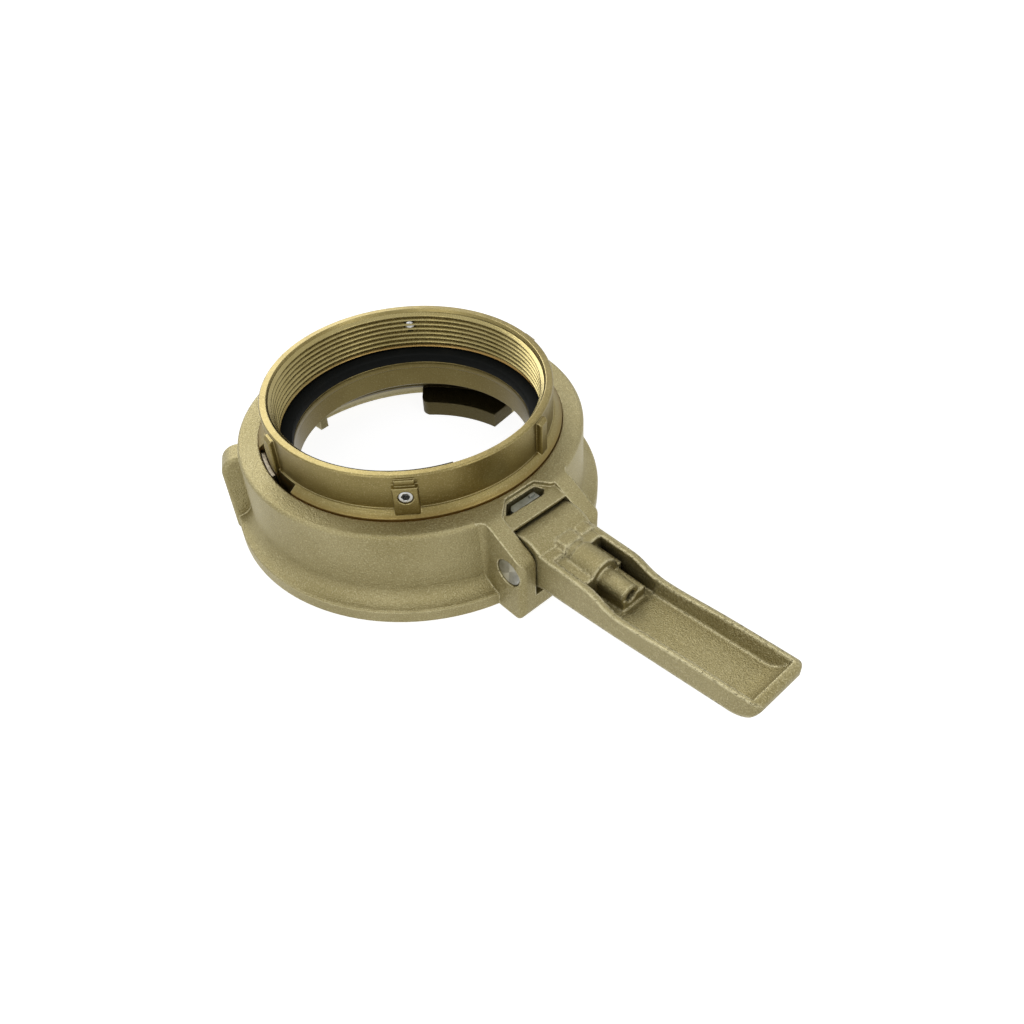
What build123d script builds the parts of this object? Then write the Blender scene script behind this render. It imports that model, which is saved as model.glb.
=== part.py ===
from build123d import *

import os
from math import sqrt

# Quarter turn fire hose coupling, in mm.
# The origin is on the swivel axis at the underside of the coupling ring, +Z runs up
# to the hose thread and the locking lever points along +X. Angles are measured from
# the lever, anticlockwise seen from above. Sections are drawn as (radius, height).
# The lever's own outlines are drawn as (along, up) from the axis of its pin.

# Clearances
RUNNING = 0.06
SEATED = 0.02
GAP = 0.3

# Hose thread: G4 parallel, 113.03 over the crests, cut down to the seal
THREAD_R = 56.5
THREAD_LENGTH = 18.45
UNDERCUT = 1.3
SEAL_WIDTH = 5.5
SEAL_THICKNESS = 2.9
MOUTH_WIDTH = 0.8
MOUTH_DEPTH = 1.4

# Threaded body: a neck round the thread, over a flange that turns in the ring's lip
BODY_BASE_Z = 21.0
SEAT_HEIGHT = 14.5
NECK_WALL = 3.75
NECK_STEP = 0.65
FLANGE_WIDTH = 3.69
FACE_SEAL_INSET = 2.0
FACE_SEAL_WIDTH = 7.0
FACE_SEAL_DEPTH = 2.6
FACE_SEAL_PROUD = 1.0
RIB_COUNT = 6
RIB_FIRST = -39.0
RIB_HEIGHT = 2.25
RIB_WIDTH = 5.6
RIB_DROP = 1.45
SCREW_BOSS_WIDTH = 9.8
SCREW_BOSS_HEIGHT = 2.65
SCREW_BOSS_DROP = 3.95
SCREW_DROP = 8.45
SCREW_R = 3.0
SCREW_HEX = 3.0
SCREW_SUNK = 0.6
NOTCH_SPAN = (244.5, 273.5)
NOTCH_DEEP_SPAN = (262.0, 275.0)
NOTCH_HEIGHT = 1.55

# Retaining wire, seated half in the body and half in the ring
WIRE_R = 1.5
WIRE_GAP = (262.0, 276.0)
WIRE_TAB_SPAN = (246.0, 261.0)
WIRE_TAB_HEIGHT = 4.1
WIRE_ABOVE_LIP = 4.6

# Coupling ring
RING_TOP_Z = 39.8
RING_WALL = 9.0
RING_BASE_WIDTH = 7.0
RING_BASE_HEIGHT = 6.4
RING_EDGE = 0.6
RING_SHOULDER = 1.6
LIP_HEIGHT = 9.8
CAVITY_DEPTH = 2.5
CAVITY_BASE_Z = 9.5
MOUTH_INSET = 6.0
MOUTH_BASE_Z = 1.2
CLAW_REACH = 12.0
CLAW_HEIGHT = 7.5
CLAW_SPAN = 40.0
CLAW_CORNER = 5.0
CLAW_ANGLES = (0.0, 120.0, 240.0)
LUG_ANGLES = (120.0, 240.0)
LUG_REACH = 1.3
LUG_DROP = 2.8
LUG_WIDTH = 11.4
LUG_FRAME = 1.5
LUG_PANEL = (8.0, 29.0)
LUG_PANEL_DEPTH = 0.9
STOP_ANGLE = 185.0
STOP_WIDTH = 4.4
STOP_HEIGHT = 6.5

# Lever pin and the bracket that carries it on the ring
PIN_REACH = 10.0
PIN_Z = 22.3
PIN_R = 6.0
LEVER_HALF = 13.4
LEVER_SIDE_GAP = 0.6
EAR_THICKNESS = 7.2
EAR_REACH = 7.6
EAR_CORNER = 3.0
EAR_BLEND = 3.5
BRIDGE_DROP = 12.0
BAR_REACH = 4.6
RECESS_DEPTH = 2.0

# Eccentric hub, its shoe, and the slot that the shoe slides in
HUB_OFFSET = (1.0, 1.7)
HUB_R = 11.5
HUB_CLEARANCE = 2.3
SHOE_TRAVEL = 1.6
SHOE_THICKNESS = 3.3
SHOE_SIDES = (-7.6, 6.0)
SHOE_CORNER = 1.6
SHOE_DROP = 0.5
SHOE_NUB = (2.6, 1.2, 0.9)
SLOT_BASE_Z = 14.0

# Lever arm, from the pin's axis
LEVER_LENGTH = 105.5
TIP_HALF = 12.4
TIP_CORNER = 3.0
ARM_STRAIGHT = 47.0
ROOT_TOP = 9.7
RIM_LOW = 6.2
RIM_HIGH = 12.7
TROUGH_HALF = 11.4
TROUGH_TIP_HALF = 10.9
TROUGH_DRAFT = 17.0
POCKET_START = 14.0
POCKET_HALF = 10.8
POCKET_FLOOR = -2.7
HEXAGON_SPAN = (8.0, 13.7)
HEXAGON_FLATS = 14.0
HEXAGON_UP = 4.7
BOSS_SPAN = (16.6, 29.5)
BOSS_R = 6.8
BOSS_UP = 5.4
TUBE_R = 4.4
TUBE_END = 42.2
LOCK_R = 2.5
LOCK_UP = 4.4
LOCK_BACK = 4.0
LOCK_FRONT = 13.0

# What follows from them
BORE_R = THREAD_R - SEAL_WIDTH
UNDERCUT_R = THREAD_R + UNDERCUT
MOUTH_R = THREAD_R + MOUTH_WIDTH
RIM_R = THREAD_R + NECK_WALL
FLANGE_R = RIM_R + FLANGE_WIDTH
LIP_R = FLANGE_R + RUNNING
SEAL_SEAT_Z = BODY_BASE_Z + SEAT_HEIGHT
THREAD_BASE_Z = SEAL_SEAT_Z + SEAL_THICKNESS + 0.2
RIM_Z = THREAD_BASE_Z + THREAD_LENGTH + MOUTH_DEPTH
NECK_BASE_Z = RING_TOP_Z + 3.1
FLANGE_TOP_Z = RING_TOP_Z + 0.8
RIB_R = RIM_R + RIB_HEIGHT
RIB_TOP_Z = RIM_Z - RIB_DROP
SCREW_BOSS_R = RIM_R + SCREW_BOSS_HEIGHT
SCREW_BOSS_TOP_Z = RIM_Z - SCREW_BOSS_DROP
SCREW_Z = RIM_Z - SCREW_DROP
SCREW_SPAN = (THREAD_R + 0.2, SCREW_BOSS_R - SCREW_SUNK)
NOTCH_R = RIM_R + NOTCH_HEIGHT
FACE_SEAL_IN = BORE_R + FACE_SEAL_INSET
FACE_SEAL_OUT = FACE_SEAL_IN + FACE_SEAL_WIDTH
LIP_Z = RING_TOP_Z - LIP_HEIGHT
WIRE_Z = LIP_Z + WIRE_ABOVE_LIP
WIRE_CENTRE_R = LIP_R + 0.05
RING_WALL_R = LIP_R + RING_WALL
RING_BASE_R = RING_WALL_R + RING_BASE_WIDTH
CAVITY_R = LIP_R + CAVITY_DEPTH
MOUTH_LOW_R = RING_BASE_R - MOUTH_INSET
CLAW_R = CAVITY_R - CLAW_REACH
LUG_R = RING_BASE_R + LUG_REACH
LUG_TOP_Z = RING_TOP_Z - LUG_DROP
PIN_X = RING_WALL_R + PIN_REACH
EAR_IN = LEVER_HALF + LEVER_SIDE_GAP
EAR_OUT = EAR_IN + EAR_THICKNESS
EAR_END = PIN_X + EAR_REACH
PIN_HALF = EAR_OUT - 0.5
BRIDGE_Z = PIN_Z - BRIDGE_DROP
POCKET_R = HUB_R + HUB_CLEARANCE
BAR_X = PIN_X - BAR_REACH
BAR_Z = PIN_Z + POCKET_R + 0.4
RECESS_Z = RING_TOP_Z - RECESS_DEPTH
SHOE_FACE_X = PIN_X + HUB_OFFSET[0] - HUB_R - GAP
SHOE_BACK_X = SHOE_FACE_X - SHOE_THICKNESS
SLOT_X = SHOE_BACK_X - SHOE_TRAVEL - GAP
SLOT_FRONT_X = SHOE_FACE_X + 0.4
FAR_AWAY = 2 * RING_BASE_R


def lathe(*edges):
    """Turns a closed section, drawn as (radius, height), into a solid of revolution."""
    return revolve(Plane.XZ * make_face(edges), Axis.Z)


def lathe_points(points):
    """Turns a straight-sided section into a solid of revolution."""
    return revolve(Plane.XZ * make_face(Polyline(*points, close=True)), Axis.Z)


def wedge(r_in, r_out, z_low, z_high, start, end):
    """Makes a block between two radii, two heights and two angles."""
    section = make_face(Polyline((r_in, z_low), (r_out, z_low), (r_out, z_high), (r_in, z_high), close=True))
    return Rot(0, 0, start) * revolve(Plane.XZ * section, Axis.Z, revolution_arc=end - start)


def side_slab(points, half):
    """Extrudes an (x, z) outline to a half width each side of the lever's mid-plane."""
    outline = Plane.XZ * make_face(Polyline(*points, close=True))
    return extrude(outline, half, both=True)


def cross_cylinder(x, z, radius, half):
    """Makes a cylinder across the lever, parallel to Y."""
    return Pos(x, 0, z) * Rot(90, 0, 0) * Cylinder(radius, 2 * half)


def long_cylinder(x_start, x_end, z, radius):
    """Makes a cylinder along the lever, parallel to X."""
    return Pos((x_start + x_end) / 2, 0, z) * Rot(0, 90, 0) * Cylinder(radius, x_end - x_start)


def block(x, y, z):
    """Makes a box from its limits along each axis."""
    size = (x[1] - x[0], y[1] - y[0], z[1] - z[0])
    centre = ((x[0] + x[1]) / 2, (y[0] + y[1]) / 2, (z[0] + z[1]) / 2)
    return Pos(*centre) * Box(*size)


def rib_angles():
    """Lists the angles of the ribs round the body's neck."""
    return [RIB_FIRST + k * 360 / RIB_COUNT for k in range(RIB_COUNT)]


def threaded_body():
    """Builds the swivelling body that takes the hose thread."""
    groove_r = WIRE_R + GAP / 4
    half_groove = sqrt(groove_r**2 - (WIRE_CENTRE_R - FLANGE_R) ** 2)
    body = lathe(
        Polyline(
            (FLANGE_R, WIRE_Z - half_groove),
            (FLANGE_R, BODY_BASE_Z + 0.8),
            (FLANGE_R - 0.8, BODY_BASE_Z),
            (FACE_SEAL_OUT, BODY_BASE_Z),
            (FACE_SEAL_OUT, BODY_BASE_Z + FACE_SEAL_DEPTH),
            (FACE_SEAL_IN, BODY_BASE_Z + FACE_SEAL_DEPTH),
            (FACE_SEAL_IN, BODY_BASE_Z),
            (BORE_R + 0.5, BODY_BASE_Z),
            (BORE_R, BODY_BASE_Z + 0.5),
            (BORE_R, SEAL_SEAT_Z - 0.4),
            (BORE_R + 0.4, SEAL_SEAT_Z),
            (UNDERCUT_R, SEAL_SEAT_Z),
            (UNDERCUT_R, THREAD_BASE_Z),
            (THREAD_R, THREAD_BASE_Z),
            (THREAD_R, RIM_Z - MOUTH_DEPTH),
            (MOUTH_R, RIM_Z),
            (RIM_R - 0.5, RIM_Z),
            (RIM_R, RIM_Z - 0.5),
            (RIM_R, NECK_BASE_Z),
            (RIM_R + NECK_STEP, NECK_BASE_Z),
            (FLANGE_R, FLANGE_TOP_Z),
            (FLANGE_R, WIRE_Z + half_groove),
        ),
        ThreePointArc(
            (FLANGE_R, WIRE_Z + half_groove),
            (WIRE_CENTRE_R - groove_r, WIRE_Z),
            (FLANGE_R, WIRE_Z - half_groove),
        ),
    )
    body -= wedge(NOTCH_R, FAR_AWAY, LIP_Z, RIM_Z - SCREW_DROP, *NOTCH_SPAN)
    body -= wedge(NOTCH_R - 0.9, FAR_AWAY, LIP_Z - 6.0, RIM_Z - SCREW_DROP, *NOTCH_DEEP_SPAN)
    for number, angle in enumerate(rib_angles()):
        if number % 3 == 0:
            body += Rot(0, 0, angle) * screw_boss()
        else:
            body += Rot(0, 0, angle) * rib()
    for angle in (RIB_FIRST, RIB_FIRST + 180):
        hole = long_cylinder(THREAD_R - 2, SCREW_BOSS_R + 5, SCREW_Z, SCREW_R + SEATED)
        body -= Rot(0, 0, angle) * hole
    return body


def rib():
    """Builds a plain rib on the neck, lying along +X."""
    root = RIM_R - NECK_WALL / 2
    points = (
        (root, NECK_BASE_Z - 1),
        (RIB_R, NECK_BASE_Z - 1),
        (RIB_R, RIB_TOP_Z - 1.2),
        (RIB_R - 1.2, RIB_TOP_Z),
        (root, RIB_TOP_Z),
    )
    bar = side_slab(points, RIB_WIDTH / 2)
    return fillet(bar.edges().filter_by(Axis.Z).group_by(Axis.X)[-1], 0.9)


def screw_boss():
    """Builds a wide rib that carries a set screw, with a step over its milled face."""
    half = SCREW_BOSS_WIDTH / 2
    root = RIM_R - NECK_WALL / 2
    bar = block((root, SCREW_BOSS_R), (-half, half), (NECK_BASE_Z - 1, SCREW_BOSS_TOP_Z))
    bar = fillet(bar.edges().filter_by(Axis.Z).group_by(Axis.X)[-1], 0.7)
    ledge = block((root, RIM_R + 1.1), (-half + 1, half - 1), (SCREW_BOSS_TOP_Z, RIB_TOP_Z))
    ledge = fillet(ledge.edges().filter_by(Axis.Z).group_by(Axis.X)[-1], 0.7)
    return bar + ledge


def thread_seal():
    """Builds the flat washer that the hose end screws down on."""
    low = SEAL_SEAT_Z
    high = SEAL_SEAT_Z + SEAL_THICKNESS
    section = (
        (BORE_R + 0.7, low),
        (UNDERCUT_R - 0.1, low),
        (UNDERCUT_R - 0.1, high - 0.3),
        (UNDERCUT_R - 0.4, high),
        (BORE_R + 0.9, high),
        (BORE_R + 0.5, high - 0.4),
        (BORE_R + 0.5, low + 0.2),
    )
    return lathe_points(section)


def face_seal():
    """Builds the profiled ring in the body's lower face, against the mating half."""
    r_in = FACE_SEAL_IN + 0.1
    r_out = FACE_SEAL_OUT - 0.1
    low = BODY_BASE_Z - FACE_SEAL_PROUD
    high = BODY_BASE_Z + FACE_SEAL_DEPTH
    section = (
        (r_in, high),
        (r_in, BODY_BASE_Z + 0.4),
        (r_in + 1.5, low),
        (r_out - 1.5, low),
        (r_out, BODY_BASE_Z + 0.4),
        (r_out, high),
    )
    return lathe_points(section)


def retaining_wire():
    """Builds the open round-wire ring that holds the body, with one end turned up."""
    start, end = WIRE_GAP
    section = Plane.XZ * Pos(WIRE_CENTRE_R, WIRE_Z) * Circle(WIRE_R)
    wire = Rot(0, 0, end) * revolve(section, Axis.Z, revolution_arc=360 - (end - start))
    tab_out = FLANGE_R - GAP
    return wire + wedge(tab_out - WIRE_R, tab_out, WIRE_Z, WIRE_Z + WIRE_TAB_HEIGHT, *WIRE_TAB_SPAN)


def set_screw(angle):
    """Builds a cup-point set screw with its hexagon socket outwards."""
    start, end = SCREW_SPAN
    screw = long_cylinder(start, end, SCREW_Z, SCREW_R)
    screw = chamfer(screw.edges().filter_by(GeomType.CIRCLE), 0.4)
    socket = Plane.YZ * RegularPolygon(SCREW_HEX / 2, 6, major_radius=False)
    socket = Pos(end - 2.6, 0, SCREW_Z) * extrude(socket, 4)
    cup = Pos(start, 0, SCREW_Z) * Rot(0, 90, 0) * Cone(1.9, 0.6, 1.6)
    return Rot(0, 0, angle) * (screw - socket - cup)


def ring_outside():
    """Builds the ring's outer form, solid through the middle."""
    base_in = RING_BASE_R - RING_EDGE
    low_wall = RING_WALL_R + 0.4
    turn = RING_SHOULDER * (1 - sqrt(0.5))
    blend_z = RING_BASE_HEIGHT + 7.6
    return lathe(
        Polyline(
            (0, 0),
            (base_in, 0),
            (RING_BASE_R, RING_EDGE),
            (RING_BASE_R, RING_BASE_HEIGHT - RING_EDGE),
            (base_in, RING_BASE_HEIGHT),
        ),
        ThreePointArc(
            (base_in, RING_BASE_HEIGHT),
            (low_wall + 1.7, RING_BASE_HEIGHT + 2.4),
            (low_wall, blend_z),
        ),
        Line((low_wall, blend_z), (RING_WALL_R, RING_TOP_Z - RING_SHOULDER)),
        ThreePointArc(
            (RING_WALL_R, RING_TOP_Z - RING_SHOULDER),
            (RING_WALL_R - turn, RING_TOP_Z - turn),
            (RING_WALL_R - RING_SHOULDER, RING_TOP_Z),
        ),
        Polyline((RING_WALL_R - RING_SHOULDER, RING_TOP_Z), (0, RING_TOP_Z), (0, 0)),
    )


def ring_inside():
    """Builds what is bored out of the ring: socket, lip and wire groove."""
    groove_r = WIRE_R + 0.1
    half_groove = sqrt(groove_r**2 - (WIRE_CENTRE_R - LIP_R) ** 2)
    return lathe(
        Polyline(
            (LIP_R, WIRE_Z - half_groove),
            (LIP_R, LIP_Z),
            (CAVITY_R, LIP_Z - 1.0),
            (CAVITY_R, CAVITY_BASE_Z),
            (MOUTH_LOW_R, MOUTH_BASE_Z),
            (MOUTH_LOW_R, -1),
            (0, -1),
            (0, RING_TOP_Z + 1),
            (LIP_R + 1.5, RING_TOP_Z + 1),
            (LIP_R, RING_TOP_Z - 0.5),
            (LIP_R, WIRE_Z + half_groove),
        ),
        ThreePointArc(
            (LIP_R, WIRE_Z + half_groove),
            (WIRE_CENTRE_R + groove_r, WIRE_Z),
            (LIP_R, WIRE_Z - half_groove),
        ),
    )


def bracket_plan():
    """Draws the bracket from above: two ears with round corners, blended into the ring."""
    centre_y = EAR_OUT + EAR_BLEND
    centre_x = sqrt((RING_WALL_R + EAR_BLEND) ** 2 - centre_y**2)
    scale = RING_WALL_R / (RING_WALL_R + EAR_BLEND)
    ring_x = centre_x * scale
    ring_y = centre_y * scale
    lean = 0.5 * 0.85
    arc_x = centre_x - EAR_BLEND * lean
    arc_y = centre_y - EAR_BLEND * sqrt(1 - lean**2)
    turn = EAR_CORNER * (1 - sqrt(0.5))
    flat_x = EAR_END - EAR_CORNER
    flat_y = EAR_OUT - EAR_CORNER
    inner = LIP_R - 10
    return make_face(
        [
            Line((inner, -ring_y), (ring_x, -ring_y)),
            ThreePointArc((ring_x, -ring_y), (arc_x, -arc_y), (centre_x, -EAR_OUT)),
            Line((centre_x, -EAR_OUT), (flat_x, -EAR_OUT)),
            ThreePointArc((flat_x, -EAR_OUT), (EAR_END - turn, -EAR_OUT + turn), (EAR_END, -flat_y)),
            Line((EAR_END, -flat_y), (EAR_END, flat_y)),
            ThreePointArc((EAR_END, flat_y), (EAR_END - turn, EAR_OUT - turn), (flat_x, EAR_OUT)),
            Line((flat_x, EAR_OUT), (centre_x, EAR_OUT)),
            ThreePointArc((centre_x, EAR_OUT), (arc_x, arc_y), (ring_x, ring_y)),
            Polyline((ring_x, ring_y), (inner, ring_y), (inner, -ring_y)),
        ]
    )


def bracket():
    """Builds the lever bracket as a block: its plan cut by its side view."""
    inner = LIP_R - 10
    foot = 4.5
    crown_z = PIN_Z + 4.7
    slope_z = PIN_Z + 9.2
    side = make_face(
        [
            Line((inner, 0.0), (EAR_END - foot, 0.0)),
            ThreePointArc((EAR_END - foot, 0.0), (EAR_END - 1.3, 1.3), (EAR_END, foot)),
            Line((EAR_END, foot), (EAR_END, crown_z)),
            ThreePointArc((EAR_END, crown_z), (EAR_END - 0.8, crown_z + 2.6), (EAR_END - 3.0, slope_z)),
            Polyline(
                (EAR_END - 3.0, slope_z),
                (PIN_X - 2.1, RING_TOP_Z - 4.6),
                (RING_WALL_R + 1.2, RING_TOP_Z - 1.0),
            ),
            ThreePointArc(
                (RING_WALL_R + 1.2, RING_TOP_Z - 1.0),
                (RING_WALL_R - 0.8, RING_TOP_Z - 0.25),
                (RING_WALL_R - 3.0, RING_TOP_Z),
            ),
            Polyline((RING_WALL_R - 3.0, RING_TOP_Z), (inner, RING_TOP_Z), (inner, 0.0)),
        ]
    )
    return extrude(bracket_plan(), FAR_AWAY) & extrude(Plane.XZ * side, FAR_AWAY, both=True)


def lug():
    """Builds an outer lug with a rounded top and a shallow panel, lying along +X."""
    half = LUG_WIDTH / 2
    root = RING_WALL_R - 5
    side = make_face(
        [
            Polyline((root, 0.0), (LUG_R - 0.9, 0.0), (LUG_R, 0.9), (LUG_R, LUG_TOP_Z - 8)),
            ThreePointArc(
                (LUG_R, LUG_TOP_Z - 8),
                (LUG_R - 2.2, LUG_TOP_Z - 2.3),
                (LUG_R - 7.5, LUG_TOP_Z),
            ),
            Polyline((LUG_R - 7.5, LUG_TOP_Z), (root, LUG_TOP_Z), (root, 0.0)),
        ]
    )
    body = extrude(Plane.XZ * side, half, both=True)
    body = fillet(body.edges().filter_by(Axis.Z).group_by(Axis.X)[-1], 1.6)
    inset = half - LUG_FRAME
    panel = block((LUG_R - LUG_PANEL_DEPTH, LUG_R + 5), (-inset, inset), LUG_PANEL)
    panel = fillet(panel.edges().filter_by(Axis.X), 2.5)
    return body - panel


def lever_pocket():
    """Builds the space cut out of the bracket for the lever's hub."""
    above = block((RING_WALL_R - 10, EAR_END + 10), (-EAR_OUT, EAR_OUT), (BRIDGE_Z, RING_TOP_Z + 10))
    round_part = cross_cylinder(PIN_X, PIN_Z, POCKET_R, EAR_IN) & above
    open_part = block((BAR_X, EAR_END + 10), (-EAR_IN, EAR_IN), (PIN_Z, RING_TOP_Z + 10))
    front_part = block((PIN_X, EAR_END + 10), (-EAR_IN, EAR_IN), (BRIDGE_Z, RING_TOP_Z + 10))
    return round_part + open_part + front_part


def top_recess():
    """Builds the shallow recess between the ears, with its sloping outer bar."""
    high = RING_TOP_Z + 10
    side = (
        (SLOT_X - 5, RECESS_Z),
        (SLOT_FRONT_X, RECESS_Z),
        (BAR_X, BAR_Z),
        (EAR_END, BAR_Z),
        (EAR_END, high),
        (SLOT_X - 5, high),
    )
    plan = Polyline(
        (SLOT_X - 0.8, -6.5),
        (SLOT_X - 0.8, 8.5),
        (SLOT_X + 4.6, EAR_IN - 1.8),
        (SLOT_X + 5.4, EAR_IN),
        (EAR_END, EAR_IN),
        (EAR_END, -EAR_IN),
        (SLOT_X + 5.8, -EAR_IN),
        close=True,
    )
    return side_slab(side, EAR_IN) & extrude(make_face(plan), high)


def shoe_slot():
    """Builds the slot that the shoe slides in, with its window into the socket."""
    low, high = SHOE_SIDES
    outline = Polyline(
        (SLOT_X, low + SHOE_CORNER - 2 * GAP),
        (SLOT_X, high + 2.0),
        (SLOT_FRONT_X - 1.7, high + 3.7),
        (SLOT_FRONT_X + 0.4, high + 1.3),
        (SLOT_FRONT_X, low - 2.4),
        (SLOT_X + 4.7, low + SHOE_CORNER - 2 * GAP - 4.7),
        close=True,
    )
    slot = Pos(0, 0, SLOT_BASE_Z) * extrude(make_face(outline), RING_TOP_Z)
    window = block((CAVITY_R - 8, SHOE_BACK_X), (low - GAP, high + GAP), (SLOT_BASE_Z, LIP_Z - 0.8))
    return slot + window


def coupling_ring():
    """Builds the ring with its claws, lugs, swivel lip and lever bracket."""
    ring = ring_outside() + bracket()
    for angle in LUG_ANGLES:
        ring += Rot(0, 0, angle) * lug()
    ring -= ring_inside()
    for angle in CLAW_ANGLES:
        ring += Rot(0, 0, angle) * claw()
    stop = block((CAVITY_R + 2, MOUTH_LOW_R + 1.5), (-STOP_WIDTH / 2, STOP_WIDTH / 2), (0, STOP_HEIGHT))
    ring += Rot(0, 0, STOP_ANGLE) * stop
    ring -= lever_pocket()
    ring -= top_recess()
    ring -= shoe_slot()
    ring -= cross_cylinder(PIN_X, PIN_Z, PIN_R + RUNNING, EAR_OUT + 5)
    return ring


def claw():
    """Builds a claw lip under the socket, lying along +X, eased where the mate turns in."""
    half = CLAW_SPAN / 2
    lip = wedge(CLAW_R, MOUTH_LOW_R + 1, 0, CLAW_HEIGHT, -half, half)
    corner = lip.edges().filter_by(Axis.Z).group_by(Axis.X)[0].sort_by(Axis.Y)[-1]
    lip = fillet(corner, CLAW_CORNER)
    ramp = lathe_points(((CLAW_R - 1, -1), (CLAW_R + 1.2, -1), (CLAW_R - 1, 1.2)))
    return lip - ramp


def lever_outline():
    """Draws the lever's side view, from the hub to the tip."""
    hub_x, hub_z = HUB_OFFSET
    end = LEVER_LENGTH
    under = Spline((11.0, -6.4), (32.0, -4.5), (57.0, -1.9), (end - 24.5, 0.4), (end - 11.5, 1.7))
    rim_far = Spline(
        (end - 1.9, RIM_HIGH),
        (end - 21.5, RIM_HIGH - 2.0),
        (end - 36.5, RIM_HIGH - 3.8),
        (ARM_STRAIGHT + 9.0, RIM_LOW + 0.8),
        (ARM_STRAIGHT, RIM_LOW),
    )
    rim_near = Spline(
        (ARM_STRAIGHT, RIM_LOW),
        (ARM_STRAIGHT - 5.5, RIM_LOW + 0.7),
        (ARM_STRAIGHT - 11.5, ROOT_TOP - 0.7),
        (ARM_STRAIGHT - 18.0, ROOT_TOP),
        tangents=((-1, 0.05), (-1, 0)),
    )
    return make_face(
        [
            Polyline((hub_x, hub_z), (hub_x + 2.5, -9.52), (11.0, -6.4)),
            under,
            ThreePointArc((end - 11.5, 1.7), (end - 3.9, 4.3), (end, 9.2)),
            Line((end, 9.2), (end, RIM_HIGH - 1.6)),
            ThreePointArc((end, RIM_HIGH - 1.6), (end - 0.6, RIM_HIGH - 0.4), (end - 1.9, RIM_HIGH)),
            rim_far,
            rim_near,
            Polyline((ARM_STRAIGHT - 18.0, ROOT_TOP), (9.2, ROOT_TOP), (hub_x, hub_z)),
        ]
    )


def lever_plan():
    """Draws the lever seen from above, tapering to a square tip with round corners."""
    end = LEVER_LENGTH
    near = LEVER_HALF
    far = TIP_HALF
    corner = TIP_CORNER
    turn = corner * (1 - sqrt(0.5))
    return make_face(
        [
            Polyline((-HUB_R, far), (-HUB_R, -near), (ARM_STRAIGHT, -near), (end - corner, -far)),
            ThreePointArc((end - corner, -far), (end - turn, -far + turn), (end, -far + corner)),
            Line((end, -far + corner), (end, far - corner)),
            ThreePointArc((end, far - corner), (end - turn, far - turn), (end - corner, far)),
            Polyline((end - corner, far), (ARM_STRAIGHT, near), (-HUB_R, near), (-HUB_R, far)),
        ]
    )


def lever_trough():
    """Builds the drafted hollow along the lever, with a straight pocket round the tube."""
    end = LEVER_LENGTH
    high = 3 * RIM_HIGH
    start = ARM_STRAIGHT - 3.0
    floor_end = end - 13.5
    side = make_face(
        [
            Polyline((start, high), (start, -0.3), (ARM_STRAIGHT - 1.0, 0.3)),
            Spline((ARM_STRAIGHT - 1.0, 0.3), (ARM_STRAIGHT + 10.0, 1.5), (end - 24.5, 3.8), (floor_end, 5.0)),
            ThreePointArc((floor_end, 5.0), (end - 7.2, 7.2), (end - 3.3, RIM_HIGH)),
            Polyline((end - 3.3, RIM_HIGH), (end - 3.3, high), (start, high)),
        ]
    )
    rim = Plane(origin=(0, 0, RIM_LOW - 4.9), x_dir=(10, 0, 1.1), z_dir=(-1.1, 0, 10))
    outline = Polyline(
        (start - 10, -TROUGH_HALF),
        (end, -TROUGH_TIP_HALF),
        (end, TROUGH_TIP_HALF),
        (start - 10, TROUGH_HALF),
        close=True,
    )
    mouth = rim * make_face(outline)
    drafted = extrude(mouth, -9, taper=TROUGH_DRAFT) + extrude(mouth, high)
    pocket_side = (
        (POCKET_START, high),
        (POCKET_START, POCKET_FLOOR),
        (POCKET_START + 18.0, POCKET_FLOOR + 1.3),
        (start + 0.5, -0.35),
        (start + 0.5, high),
    )
    return (drafted & extrude(Plane.XZ * side, EAR_OUT, both=True)) + side_slab(pocket_side, POCKET_HALF)


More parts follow.
